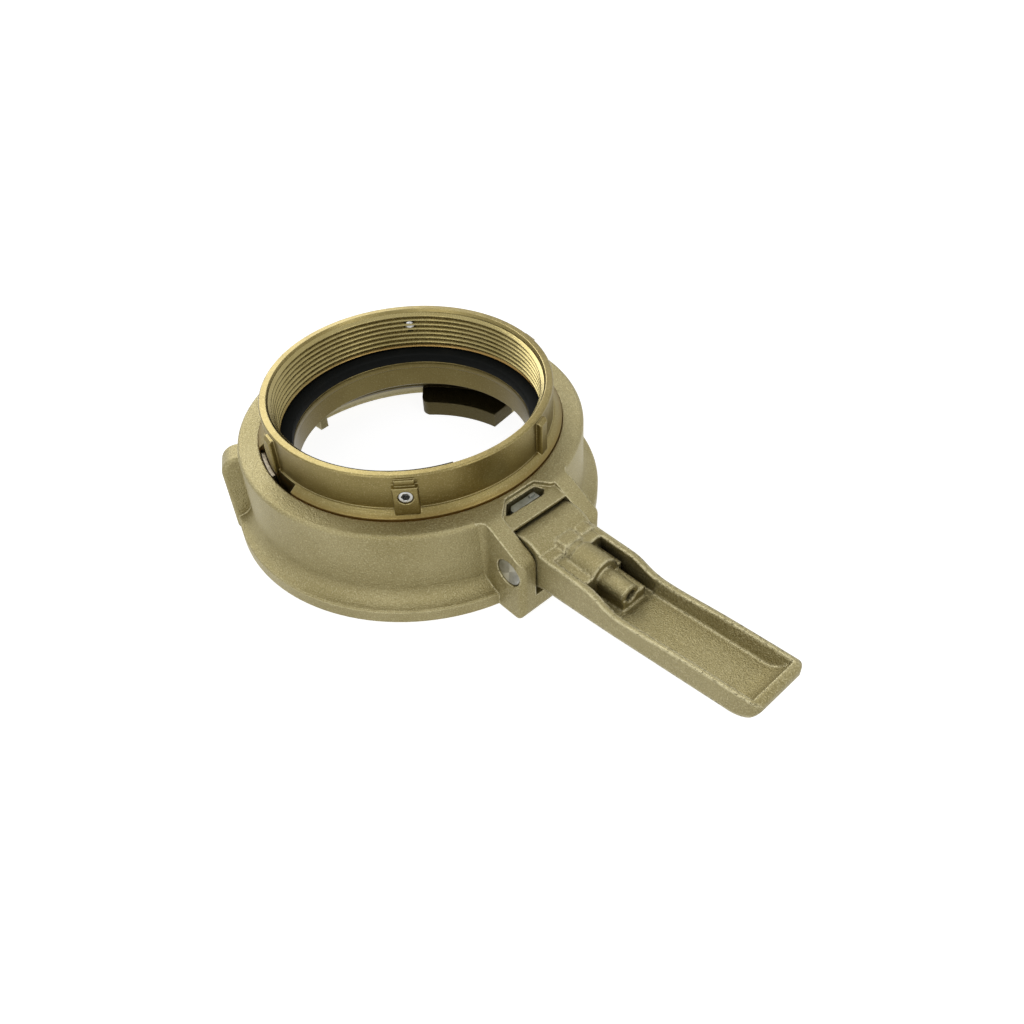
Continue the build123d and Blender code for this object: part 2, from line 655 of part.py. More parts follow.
def lever():
    """Builds the cast lever: eccentric hub, trough, hexagon boss and bored tube."""
    hub_x, hub_z = HUB_OFFSET
    high = 3 * RIM_HIGH
    arm = extrude(Plane.XZ * lever_outline(), EAR_OUT, both=True) & extrude(lever_plan(), high, both=True)
    arm -= lever_trough()
    arm += cross_cylinder(hub_x, hub_z, HUB_R, LEVER_HALF)
    boss_start, boss_end = BOSS_SPAN
    hex_start, hex_end = HEXAGON_SPAN
    arm += block((hex_end - 1, boss_end), (-LEVER_HALF + 1.4, -3.0), (POCKET_FLOOR - 1, BOSS_UP + 2.9))
    arm += block((hex_end - 1, boss_end), (-5.0, LEVER_HALF - 4.6), (POCKET_FLOOR - 1, BOSS_UP + 0.8))
    arm += block((boss_end - 1, TUBE_END + 0.4), (-4.0, LEVER_HALF - 6.0), (POCKET_FLOOR - 0.5, LOCK_UP - 0.2))
    hexagon = Plane.YZ * RegularPolygon(HEXAGON_FLATS / 2, 6, major_radius=False)
    arm += Pos(hex_start, 0, HEXAGON_UP) * extrude(hexagon, hex_end - hex_start)
    arm += long_cylinder(hex_end - 1, boss_start + 1, BOSS_UP, BOSS_R - 0.9)
    arm += long_cylinder(boss_start, boss_end, BOSS_UP, BOSS_R)
    tube = long_cylinder(boss_end - 1, TUBE_END, LOCK_UP, TUBE_R)
    arm += chamfer(tube.edges().filter_by(GeomType.CIRCLE).sort_by(Axis.X)[-1], 0.5)
    knob = block((hex_start - 0.8, hex_end - 1.2), (5.4, 12.2), (0.0, HEXAGON_UP + 6.3))
    arm += fillet(knob.edges().filter_by(Axis.X).group_by(Axis.Z)[-1], 1.8)
    patch = block((hex_end - 3.0, hex_end + 3.6), (2.0, 11.4), (0.0, HEXAGON_UP + 5.5))
    arm += fillet(patch.edges().filter_by(Axis.X).group_by(Axis.Z)[-1], 1.8)
    arm -= cross_cylinder(0, 0, PIN_R + SEATED, EAR_OUT)
    arm -= long_cylinder(-LOCK_BACK, TUBE_END + 5, LOCK_UP, LOCK_R + SEATED)
    return Pos(PIN_X, 0, PIN_Z) * arm


def lever_pin():
    """Builds the turned pin, notched on top where the lock pin crosses it."""
    pin = cross_cylinder(0, 0, PIN_R, PIN_HALF)
    pin = chamfer(pin.edges().filter_by(GeomType.CIRCLE), 0.5)
    pin -= long_cylinder(-2 * PIN_R, 2 * PIN_R, LOCK_UP, LOCK_R + SEATED)
    return Pos(PIN_X, 0, PIN_Z) * pin


def lever_lock_pin():
    """Builds the dowel that lies across the lever pin's notch."""
    dowel = long_cylinder(-LOCK_BACK + GAP, LOCK_FRONT, LOCK_UP, LOCK_R)
    dowel = chamfer(dowel.edges().filter_by(GeomType.CIRCLE), 0.4)
    return Pos(PIN_X, 0, PIN_Z) * dowel


def pressure_shoe():
    """Builds the plate between the hub and the socket, hollowed to the socket wall."""
    low, high = SHOE_SIDES
    top = RECESS_Z - SHOE_DROP
    bottom = SLOT_BASE_Z + GAP
    foot = block((CAVITY_R - 8, SHOE_FACE_X), (low, high), (bottom, LIP_Z - 1.1))
    foot -= Cylinder(CAVITY_R + GAP, FAR_AWAY)
    plan = Polyline(
        (SHOE_BACK_X, low + SHOE_CORNER),
        (SHOE_BACK_X + SHOE_CORNER, low),
        (SHOE_FACE_X, low),
        (SHOE_FACE_X, high),
        (SHOE_BACK_X, high),
        close=True,
    )
    upper = Pos(0, 0, LIP_Z - 2) * extrude(make_face(plan), top - LIP_Z + 2)
    length, width, height = SHOE_NUB
    nub_x = SHOE_BACK_X + 0.6
    nub_y = high - 1.0
    nub = block((nub_x, nub_x + width), (nub_y - length, nub_y), (top - 0.5, top + height))
    return foot + upper + nub


PIECES = {
    "threaded_body": threaded_body,
    "thread_seal": thread_seal,
    "face_seal": face_seal,
    "retaining_wire": retaining_wire,
    "set_screw_front": lambda: set_screw(RIB_FIRST),
    "set_screw_rear": lambda: set_screw(RIB_FIRST + 180),
    "coupling_ring": coupling_ring,
    "pressure_shoe": pressure_shoe,
    "lever": lever,
    "lever_pin": lever_pin,
    "lever_lock_pin": lever_lock_pin,
}

os.makedirs("parts", exist_ok=True)
for name, make in PIECES.items():
    piece = make()
    solids = piece.solids()
    print(name, len(solids), round(sum(s.volume for s in solids)))
    export_step(piece, f"parts/{name}.step")
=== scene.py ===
"""Looks of the quarter turn hose coupling: thread, finishes, studio and camera."""

from __future__ import annotations

import logging
import math
from dataclasses import dataclass, field, replace
from enum import Enum

import bmesh
import bpy
from mathutils import Matrix, Vector

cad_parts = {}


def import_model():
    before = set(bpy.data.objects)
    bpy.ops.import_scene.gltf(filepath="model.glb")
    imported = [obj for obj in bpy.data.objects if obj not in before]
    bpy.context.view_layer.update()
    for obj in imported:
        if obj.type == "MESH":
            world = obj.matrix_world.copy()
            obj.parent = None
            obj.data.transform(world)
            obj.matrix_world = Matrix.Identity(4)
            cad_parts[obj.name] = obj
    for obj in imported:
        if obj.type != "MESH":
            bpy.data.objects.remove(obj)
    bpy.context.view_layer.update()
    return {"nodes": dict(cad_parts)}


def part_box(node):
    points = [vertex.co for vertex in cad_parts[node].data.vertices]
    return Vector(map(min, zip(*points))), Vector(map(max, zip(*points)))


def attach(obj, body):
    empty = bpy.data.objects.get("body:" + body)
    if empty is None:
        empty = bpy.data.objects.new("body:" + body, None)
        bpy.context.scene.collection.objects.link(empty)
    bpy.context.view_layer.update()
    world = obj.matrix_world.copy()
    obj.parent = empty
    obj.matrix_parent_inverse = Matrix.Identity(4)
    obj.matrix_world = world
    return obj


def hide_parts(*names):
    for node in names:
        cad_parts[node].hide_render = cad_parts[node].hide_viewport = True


LOG = logging.getLogger("coupling")
MM = 0.001
NOISE_MIDDLE = 0.5
WHITE = (1.0, 1.0, 1.0, 1.0)


@dataclass(frozen=True)
class Span:
    """Where a mask starts, where it is full, and the share that it then covers."""

    low: float
    high: float
    share: float = 1.0


class Sock:
    """A shader socket whose arithmetic adds Math nodes to its sheet."""

    def __init__(self, sheet: Sheet, link: bpy.types.NodeSocket) -> None:
        """Wraps an output socket of a node on a sheet."""
        self.sheet = sheet
        self.link = link

    def _math(self, operation: str, *values: Sock | float, clamp: bool = False) -> Sock:
        """Adds one Math node, with its result held between 0 and 1 if asked."""
        settings = {"operation": operation, "use_clamp": clamp}
        return self.sheet.add("ShaderNodeMath", settings, dict(enumerate(values)))

    def __add__(self, other: Sock | float) -> Sock:
        """Sums."""
        return self._math("ADD", self, other)

    __radd__ = __add__

    def __sub__(self, other: Sock | float) -> Sock:
        """Subtracts."""
        return self._math("SUBTRACT", self, other)

    def __rsub__(self, other: Sock | float) -> Sock:
        """Subtracts this from a number."""
        return self._math("SUBTRACT", other, self)

    def __mul__(self, other: Sock | float) -> Sock:
        """Multiplies."""
        return self._math("MULTIPLY", self, other)

    __rmul__ = __mul__

    def clipped(self) -> Sock:
        """Holds the value between 0 and 1."""
        return self._math("ADD", self, 0.0, clamp=True)

    def rise(self, span: Span) -> Sock:
        """Rises smoothly from 0 to 1 over a span.

        Args:
            span: Where the rise starts and ends.

        Returns:
            The smooth step.
        """
        settings = {"interpolation_type": "SMOOTHSTEP"}
        inputs = {"Value": self, "From Min": span.low, "From Max": span.high}
        return self.sheet.add("ShaderNodeMapRange", settings, inputs)

    def cover(self, span: Span) -> Sock:
        """Rises over a span as far as its share."""
        return self.rise(span) * span.share


class Sheet:
    """The node sheet of a material or of the world."""

    def __init__(self, owner: bpy.types.Material | bpy.types.World) -> None:
        """Starts with no nodes.

        Args:
            owner: What the nodes belong to.
        """
        owner.use_nodes = True
        self.owner = owner
        self.tree = owner.node_tree
        self.tree.nodes.clear()

    def add(
        self,
        kind: str,
        settings: dict | None = None,
        inputs: dict | None = None,
        output: str | int = 0,
    ) -> Sock:
        """Adds a node.

        Args:
            kind: The node's type.
            settings: Its properties, set first.
            inputs: Values or links of its sockets, by name or number.
            output: Which output is wanted.

        Returns:
            The wanted output.
        """
        node = self.tree.nodes.new(kind)
        for key, value in (settings or {}).items():
            setattr(node, key, value)
        for key, value in (inputs or {}).items():
            socket = node.inputs[key]
            if isinstance(value, Sock):
                self.tree.links.new(value.link, socket)
            else:
                socket.default_value = value
        return Sock(self, node.outputs[output])

    def place(self) -> Sock:
        """Gives object coordinates, in metres."""
        return self.add("ShaderNodeTexCoord", output="Object")

    def vector(self, operation: str, *values: Sock | tuple, output: str = "Vector") -> Sock:
        """Adds one Vector Math node and gives its Vector or its Value."""
        settings = {"operation": operation}
        return self.add("ShaderNodeVectorMath", settings, dict(enumerate(values)), output)

    def along(self, vector: Sock, axis: str) -> Sock:
        """Gives one part of a vector: X, Y or Z."""
        return self.add("ShaderNodeSeparateXYZ", {}, {0: vector}, axis)

    def noise(
        self,
        size: float,
        detail: float = 3.0,
        rough: float = 0.55,
        place: Sock | None = None,
    ) -> Sock:
        """Adds a noise.

        Args:
            size: Its grain size in metres.
            detail: How many octaves.
            rough: How strong the fine octaves are.
            place: Its coordinates.

        Returns:
            The noise value.
        """
        inputs = {
            "Vector": place or self.place(),
            "Scale": 1.0 / size,
            "Detail": detail,
            "Roughness": rough,
        }
        return self.add("ShaderNodeTexNoise", {}, inputs)

    def blend(self, share: Sock | float, low: tuple | Sock, high: tuple | Sock) -> Sock:
        """Mixes two colours.

        Args:
            share: How much of the second.
            low: The first colour.
            high: The second colour.

        Returns:
            The mixed colour.
        """
        factor, first, second, mixed = 0, 6, 7, 2
        inputs = {
            factor: share,
            first: low if isinstance(low, Sock) else (*low, 1.0),
            second: high if isinstance(high, Sock) else (*high, 1.0),
        }
        return self.add("ShaderNodeMix", {"data_type": "RGBA"}, inputs, mixed)

    def round_off(self, radius: float, samples: int) -> Sock:
        """Gives a normal that rounds edges off, by a radius in metres."""
        return self.add("ShaderNodeBevel", {"samples": samples}, {"Radius": radius})

    def edges(self, radius: float) -> Sock:
        """Finds edges by how far the rounded normal leans from the plain one.

        Args:
            radius: The reach of an edge in metres.

        Returns:
            0 on open faces, rising towards an edge.
        """
        plain = self.add("ShaderNodeNewGeometry", output="Normal")
        rounded = self.round_off(radius, samples=6)
        return 1.0 - self.vector("DOT_PRODUCT", rounded, plain, output="Value")

    def hollows(self, reach: float) -> Sock:
        """Finds inner corners of the piece itself.

        Args:
            reach: How far a corner is felt, in metres.

        Returns:
            0 in the open, rising in corners.
        """
        settings = {"samples": 6, "only_local": True}
        opening = self.add("ShaderNodeAmbientOcclusion", settings, {"Distance": reach}, "AO")
        return 1.0 - opening

    def height(self) -> Sock:
        """Gives how high a point is on the object, in metres."""
        return self.along(self.place(), "Z")

    def radius(self) -> Sock:
        """Gives how far a point is from the coupling's axis, in metres."""
        flat = self.vector("MULTIPLY", self.place(), (1.0, 1.0, 0.0))
        return self.vector("LENGTH", flat, output="Value")

    def bump(self, height: Sock, distance: float, normal: Sock | None = None) -> Sock:
        """Adds a bump.

        Args:
            height: The height map.
            distance: What a height of 1 stands for, in metres.
            normal: The normal under it.

        Returns:
            The bumped normal.
        """
        inputs = {"Height": height, "Distance": distance, "Strength": 1.0}
        if normal is not None:
            inputs["Normal"] = normal
        return self.add("ShaderNodeBump", {}, inputs)

    def finish(self, **sockets: Sock | float | tuple) -> bpy.types.Material:
        """Closes the sheet with a principled shader.

        Args:
            sockets: The shader's inputs, with _ for a space.

        Returns:
            The material.
        """
        inputs = {name.replace("_", " "): value for name, value in sockets.items()}
        self.add_output(self.add("ShaderNodeBsdfPrincipled", {}, inputs))
        return self.owner

    def add_output(self, shader: Sock, kind: str = "ShaderNodeOutputMaterial") -> None:
        """Links a shader to a new output node of the given type."""
        node = self.tree.nodes.new(kind)
        self.tree.links.new(shader.link, node.inputs["Surface"])


CLOUDS = Span(0.35, 0.7)


@dataclass(frozen=True)
class Wear:
    """How a brass skin shows its specks, its brighter edges and its relief; the brighter edges
    are partly real abrasion, partly a painted highlight.
    """

    bright: Span
    dark: Span
    rubbed_and_highlit: Span
    edge_gain: float
    grit: float
    rough_grit: float
    polish: float
    relief: float
    metallic: float


class Coat(Enum):
    """Which way a brass surface was finished, and how that shows."""

    CAST = Wear(
        bright=Span(0.5, 0.68, 0.42),
        dark=Span(0.52, 0.7, 0.42),
        rubbed_and_highlit=Span(0.1, 0.5, 0.8),
        edge_gain=3.2,
        grit=0.9,
        rough_grit=0.35,
        polish=0.14,
        relief=0.22 * MM,
        metallic=0.95,
    )
    TURNED = Wear(
        bright=Span(0.52, 0.7, 0.4),
        dark=Span(0.54, 0.7, 0.35),
        rubbed_and_highlit=Span(0.15, 0.6, 0.6),
        edge_gain=3.0,
        grit=0.8,
        rough_grit=0.25,
        polish=0.08,
        relief=0.08 * MM,
        metallic=0.96,
    )


@dataclass(frozen=True)
class Brass:
    """Brass, blasted as cast or turned on a lathe."""

    name: str
    coat: Coat
    body: tuple = (0.335, 0.289, 0.146)
    shade: tuple = (0.285, 0.242, 0.112)
    # Bright specks, and edges partly abraded, partly a painted highlight.
    worn_and_highlit: tuple = (0.66, 0.60, 0.38)
    # Dark specks, dark tool lines, and the painted shade of inner corners.
    dark_grain_and_corner_shade: tuple = (0.13, 0.105, 0.04)
    # Near-black painted shade of the deepest hollows.
    deep_hole_shade: tuple = (0.018, 0.014, 0.006)
    amber: tuple = (0.36, 0.20, 0.06)
    # Dark of chipped edges, and the painted shade over the unlit inside.
    chip_and_inside_shade: tuple = (0.055, 0.042, 0.012)
    # Painted dark reflection over the flange.
    flange_dark_reflection: tuple = (0.19, 0.13, 0.035)
    roughness: float = 0.48
    round_r: float = 1.2 * MM
    edge_reach: float = 1.25
    cloud_size: float = 30 * MM
    speck_size: float = 0.55 * MM
    flake_size: float = 1.1 * MM
    line_size: float = 0.4 * MM
    line_stretch: tuple = (0.08, 0.08, 1.0)
    line_height: float = 0.8
    speck_height: float = 0.6
    tool_marks: Span = Span(0.52, 0.75, 0.3)
    chip_gain: float = 3.0
    chipped_edge: Span = Span(0.1, 0.4)
    chips: Span = Span(0.55, 0.61, 0.75)
    # Reach and span of the painted shade in inner corners.
    corner_reach: float = 5 * MM
    corners: Span = Span(0.35, 0.95, 0.6)
    # Reach and span of the near-black painted shade in the deepest hollows.
    hole_reach: float = 9 * MM
    deep_hole_span: Span = Span(0.8, 0.97)
    flange_foot: Span = Span(38.3 * MM, 39.0 * MM)
    flange_top: Span = Span(40.9 * MM, 42.0 * MM)
    amber_top: Span = Span(39.6 * MM, 40.8 * MM)
    flange_reflection_share: float = 0.3
    flange_reflection_lines: float = 0.4
    amber_share: float = 0.6
    inside_r: float = 0.0
    inside_z: float = 0.0
    inside_shade_share: float = 0.0
    inside_fade: float = 0.6 * MM

    def make(self) -> bpy.types.Material:
        """Builds the material.

        Returns:
            The material.
        """
        sheet = Sheet(bpy.data.materials.new(self.name))
        look = self.coat.value
        speck = sheet.noise(self.speck_size, detail=3.0, rough=0.7)
        grit = speck - NOISE_MIDDLE
        grain = self._grain(sheet)
        edge = sheet.edges(self.round_r * self.edge_reach)
        # Brighter edges: partly real abrasion, partly a painted highlight of the rounded edges.
        wear_and_highlight = (edge * look.edge_gain + grit * look.grit).rise(look.rubbed_and_highlit)
        cloud = sheet.noise(self.cloud_size, detail=3.0, rough=0.5)
        colour = sheet.blend(cloud.rise(CLOUDS), self.body, self.shade)
        if self.coat is Coat.TURNED:
            colour = sheet.blend(grain.cover(self.tool_marks), colour, self.dark_grain_and_corner_shade)
        colour = sheet.blend(speck.cover(look.bright), colour, self.worn_and_highlit)
        colour = sheet.blend((1.0 - speck).cover(look.dark), colour, self.dark_grain_and_corner_shade)
        colour = sheet.blend(wear_and_highlight * look.rubbed_and_highlit.share, colour, self.worn_and_highlit)
        if self.coat is Coat.TURNED:
            colour = self._paint_flange_reflection(sheet, colour, grain)
        else:
            colour = self._chipped(sheet, colour, edge, grain)
        rough = self.roughness + grit * look.rough_grit - wear_and_highlight * look.polish
        return sheet.finish(
            Base_Color=self._darken(sheet, colour),
            Metallic=look.metallic,
            Roughness=rough.clipped(),
            Normal=self._relief(sheet, speck, grain),
        )

    def _grain(self, sheet: Sheet) -> Sock:
        """Gives the coarse grain: flakes on a casting, tool lines round the axis if turned.

        Args:
            sheet: The node sheet.

        Returns:
            The grain's noise.
        """
        if self.coat is Coat.CAST:
            return sheet.noise(self.flake_size, detail=2.0, rough=0.7)
        rings = sheet.vector("MULTIPLY", sheet.place(), self.line_stretch)
        return sheet.noise(self.line_size, detail=2.0, rough=0.6, place=rings)

    def _chipped(self, sheet: Sheet, colour: Sock, edge: Sock, flake: Sock) -> Sock:
        """Breaks the edges with dark chips.

        Args:
            sheet: The node sheet.
            colour: The colour under them.
            edge: How near an edge is.
            flake: The noise that places the chips.

        Returns:
            The chipped colour.
        """
        broken = (edge * self.chip_gain).rise(self.chipped_edge) * flake.rise(self.chips)
        return sheet.blend(broken * self.chips.share, colour, self.chip_and_inside_shade)

    def _paint_flange_reflection(self, sheet: Sheet, colour: Sock, lines: Sock) -> Sock:
        """Paints a dark reflection over the flange, with a darker amber band along its foot.

        Args:
            sheet: The node sheet.
            colour: The colour under the painted reflection.
            lines: The tool lines.

        Returns:
            The colour with the painted reflection.
        """
        high = sheet.height()
        foot = high.rise(self.flange_foot)
        flange = (1.0 - high.rise(self.flange_top)) * foot
        depth = self.flange_reflection_share + lines * self.flange_reflection_lines
        # Painted dark reflection over the flange, streaked with the tool lines.
        colour = sheet.blend(flange * depth, colour, self.flange_dark_reflection)
        low_band = (1.0 - high.rise(self.amber_top)) * foot
        return sheet.blend(low_band * self.amber_share, colour, self.amber)

    def _darken(self, sheet: Sheet, colour: Sock) -> Sock:
        """Paints shade into the inner corners and over the unlit inside, and paints the deepest
        hollows near black.

        Args:
            sheet: The node sheet.
            colour: The colour under the painted shade.

        Returns:
            The colour with painted shade.
        """
        # Painted shade: inner corners darkened where ambient occlusion finds them.
        corner_shade = sheet.hollows(self.corner_reach).cover(self.corners)
        colour = sheet.blend(corner_shade, colour, self.dark_grain_and_corner_shade)
        # Painted shade over the unlit inside, within inside_r and below inside_z.
        if self.inside_shade_share:
            wall = Span(self.inside_r - self.inside_fade, self.inside_r + self.inside_fade)
            roof = Span(self.inside_z - self.inside_fade, self.inside_z + self.inside_fade)
            inside = (1.0 - sheet.radius().rise(wall)) * (1.0 - sheet.height().rise(roof))
            colour = sheet.blend(inside * self.inside_shade_share, colour, self.chip_and_inside_shade)
        # Painted shade: the deepest hollows turn near black.
        hole = sheet.hollows(self.hole_reach).rise(self.deep_hole_span)
        return sheet.blend(hole, colour, self.deep_hole_shade)

    def _relief(self, sheet: Sheet, speck: Sock, grain: Sock) -> Sock:
        """Rounds the edges off and lays the grain and the specks over them.

        Args:
            sheet: The node sheet.
            speck: The fine specks.
            grain: The coarse grain.

        Returns:
            The normal.
        """
        relief = self.coat.value.relief
        rounded = sheet.round_off(self.round_r, samples=8)
        if self.coat is Coat.CAST:
            return sheet.bump(speck, relief, sheet.bump(grain, relief, rounded))
        return sheet.bump(grain * self.line_height + speck * self.speck_height, relief, rounded)


@dataclass(frozen=True)
class Steel:
    """Steel, turned or plated."""

    name: str
    body: tuple
    shade: tuple
    roughness: float = 0.36
    # Colour of the painted highlight across a turned end.
    painted_highlight: tuple = (0.78, 0.78, 0.74)
    # Painted shade in hollows, such as a screw's hex socket.
    hollow_shade: tuple = (0.03, 0.028, 0.02)
    cloud_size: float = 3.5 * MM
    grain: float = 0.6 * MM
    relief: float = 0.04 * MM
    round_r: float = 0.3 * MM
    rough_grit: float = 0.25
    hole_reach: float = 3 * MM
    hollow_shade_span: Span = Span(0.25, 0.9, 0.85)
    # Centre of the painted bow-tie highlight; empty for none.
    highlight_centre: tuple = ()
    highlight_turn: float = 2.2
    wedges: Span = Span(0.45, 1.0, 0.6)

    def make(self) -> bpy.types.Material:
        """Builds the material: painted shade in its hollows, and two painted highlight wedges
        round a given centre.

        Returns:
            The material.
        """
        sheet = Sheet(bpy.data.materials.new(self.name))
        fine = sheet.noise(self.grain, rough=0.6)
        colour = sheet.blend(sheet.noise(self.cloud_size).rise(CLOUDS), self.body, self.shade)
        if self.highlight_centre:
            # Painted highlight: two bright wedges across the turned end.
            colour = sheet.blend(self._highlight_wave(sheet).cover(self.wedges), colour, self.painted_highlight)
        # Painted shade: hollows darkened where ambient occlusion finds them.
        hollow_shade_mask = sheet.hollows(self.hole_reach).cover(self.hollow_shade_span)
        rough = self.roughness + (fine - NOISE_MIDDLE) * self.rough_grit
        return sheet.finish(
            Base_Color=sheet.blend(hollow_shade_mask, colour, self.hollow_shade),
            Metallic=1.0,
            Roughness=rough.clipped(),
            Normal=sheet.bump(fine, self.relief, sheet.round_off(self.round_r, samples=6)),
        )

    def _highlight_wave(self, sheet: Sheet) -> Sock:
        """Makes the wave that paints a bow-tie highlight, two bright wedges, across a turned
        end.

        Args:
            sheet: The node sheet.

        Returns:
            A wave round the end, 1 in the middle of each wedge.
        """
        off = sheet.vector("SUBTRACT", sheet.place(), self.highlight_centre)
        legs = {0: sheet.along(off, "Z"), 1: sheet.along(off, "X")}
        twice_round = sheet.add("ShaderNodeMath", {"operation": "ARCTAN2"}, legs) * 2.0
        angle = {0: twice_round - self.highlight_turn}
        return sheet.add("ShaderNodeMath", {"operation": "COSINE"}, angle)


@dataclass(frozen=True)
class Rubber:
    """Black moulded rubber, or any other dull dark skin."""

    name: str = "seal rubber"
    body: tuple = (0.0045, 0.0055, 0.005)
    dust: tuple = (0.016, 0.016, 0.013)
    roughness: float = 0.75
    specular: float = 0.15
    cloud_size: float = 6 * MM
    grain: float = 0.5 * MM
    relief: float = 0.03 * MM
    rough_grit: float = 0.2
    dusty: Span = Span(0.45, 0.8, 0.5)

    def make(self) -> bpy.types.Material:
        """Builds the material.

        Returns:
            The material.
        """
        sheet = Sheet(bpy.data.materials.new(self.name))
        cloud = sheet.noise(self.cloud_size, detail=4.0, rough=0.6)
        fine = sheet.noise(self.grain, detail=2.0)
        rough = self.roughness + (cloud - NOISE_MIDDLE) * self.rough_grit
        return sheet.finish(
            Base_Color=sheet.blend(cloud.cover(self.dusty), self.body, self.dust),
            Specular_IOR_Level=self.specular,
            Roughness=rough.clipped(),
            Normal=sheet.bump(fine, self.relief),
        )


CAST_BRASS = Brass(
    "cast brass",
    Coat.CAST,
    round_r=1.0 * MM,
    # Painted shade over the ring's unlit cavity.
    inside_r=68.5 * MM,
    inside_z=30.3 * MM,
    inside_shade_share=0.88,
)
LEVER_BRASS = Brass(
    "lever brass",
    Coat.CAST,
    body=(0.31, 0.266, 0.132),
    shade=(0.265, 0.224, 0.102),
    round_r=2.0 * MM,
)
TURNED_BRASS = Brass(
    "turned brass",
    Coat.TURNED,
    body=(0.245, 0.197, 0.076),
    shade=(0.205, 0.159, 0.056),
    worn_and_highlit=(0.52, 0.45, 0.24),
    roughness=0.33,
    round_r=0.6 * MM,
    # Painted shade over the lower bore.
    inside_r=54.5 * MM,
    inside_z=34.5 * MM,
    inside_shade_share=0.45,
)
THREAD_BRASS = Brass(
    "thread brass",
    Coat.TURNED,
    body=(0.36, 0.30, 0.13),
    shade=(0.30, 0.245, 0.095),
    worn_and_highlit=(0.54, 0.47, 0.26),
    # Dark grain with painted shade in the thread's valleys, then the painted shade of its
    # deepest hollows.
    dark_grain_and_corner_shade=(0.30, 0.245, 0.11),
    deep_hole_shade=(0.25, 0.20, 0.08),
    roughness=0.27,
    round_r=0.2 * MM,
)
BRIGHT_STEEL = Steel(
    "bright steel", body=(0.62, 0.62, 0.6), shade=(0.45, 0.45, 0.43), roughness=0.28
)
WIRE_STEEL = Steel(
    "wire steel", body=(0.2, 0.175, 0.13), shade=(0.09, 0.075, 0.05), roughness=0.42
)
PLATED_STEEL = Steel(
    "plated steel", body=(0.34, 0.35, 0.31), shade=(0.22, 0.23, 0.19), roughness=0.45
)
PIN_STEEL = Steel("pin steel", body=(0.40, 0.40, 0.37), shade=(0.27, 0.27, 0.24))
SEAL_RUBBER = Rubber()
# A dark skin for the sheet round the screw tip: painted shade of the screw's hole.
HOLE_SHADE_SKIN = Rubber("oiled hole", body=(0.02, 0.017, 0.008), dust=(0.05, 0.04, 0.02))


def join_rows(mesh: bmesh.types.BMesh, near: list, far: list, around: bool) -> list:
    """Lays four-sided faces between two rows of points.

    Args:
        mesh: The mesh.
        near: The first row.
        far: The second row, as long as the first.
        around: Whether each row's last point joins its first.

    Returns:
        The new faces.
    """
    faces = []
    for k in range(len(near) if around else len(near) - 1):
        after = (k + 1) % len(near)
        faces.append(mesh.faces.new((near[k], near[after], far[after], far[k])))
    return faces


def to_object(name: str, mesh: bmesh.types.BMesh) -> bpy.types.Object:
    """Puts a mesh in the scene, smooth on its four-sided faces.

    Args:
        name: The object's name.
        mesh: The mesh, which is freed.

    Returns:
        The object.
    """
    bmesh.ops.recalc_face_normals(mesh, faces=mesh.faces)
    data = bpy.data.meshes.new(name)
    mesh.to_mesh(data)
    mesh.free()
    for face in data.polygons:
        face.use_smooth = len(face.vertices) == 4
    piece = bpy.data.objects.new(name, data)
    bpy.context.scene.collection.objects.link(piece)
    return piece


@dataclass
class HoseThread:
    """The right-hand parallel thread inside the body's mouth."""

    root_r: float = 56.55 * MM
    crest_r: float = 55.04 * MM
    pitch: float = 2.309 * MM
    low: float = 38.8 * MM
    high: float = 57.15 * MM
    steps: int = 160
    fade: float = 0.35
    least: float = 0.02
    profile: tuple = (
        (0.0, -0.5),
        (0.86, -0.13),
        (1.0, -0.05),
        (1.0, 0.05),
        (0.86, 0.13),
        (0.0, 0.5),
    )

    def build(self) -> bpy.types.Object:
        """Builds the ridge as one helical strip that fades out at both ends.

        The profile's pairs are shares of the ridge's height and of its pitch.

        Returns:
            The thread.
        """
        mesh = bmesh.new()
        turns = (self.high - self.low) / self.pitch
        rows = []
        for index in range(int(turns * self.steps) + 1):
            turn = index / self.steps
            z = self.low + turn * self.pitch
            angle = math.tau * turn
            reach = max(min(1.0, turn / self.fade, (turns - turn) / self.fade), self.least)
            row = []
            for rise, along in self.profile:
                r = self.root_r - (self.root_r - self.crest_r) * rise * reach
                point = (r * math.cos(angle), r * math.sin(angle), z + along * self.pitch)
                row.append(mesh.verts.new(point))
            rows.append(row)
        for near, far in zip(rows, rows[1:]):
            join_rows(mesh, near, far, around=False)
        return to_object("hose_thread", mesh)


@dataclass
class Lathe:
    """Turns sections round the Z axis."""

    sides: int = 180

    def turn(self, name: str, sections: list, closed: bool = True) -> bpy.types.Object:
        """Turns one or more sections into one mesh, a material slot for each.

        Args:
            name: The object's name.
            sections: Lists of (radius, height) pairs.
            closed: Whether each section's last pair joins its first.

        Returns:
            The turned object.
        """
        mesh = bmesh.new()
        spin = [math.tau * k / self.sides for k in range(self.sides)]
        for number, section in enumerate(sections):
            rows = [
                [mesh.verts.new((r * math.cos(a), r * math.sin(a), z)) for a in spin]
                for r, z in section
            ]
            following = rows[1:] + rows[:1] if closed else rows[1:]
            faces = []
            for near, far in zip(rows, following):
                faces += join_rows(mesh, near, far, around=True)
            if not closed:
                faces.append(mesh.faces.new(rows[-1]))
            for face in faces:
                face.material_index = number
        return to_object(name, mesh)


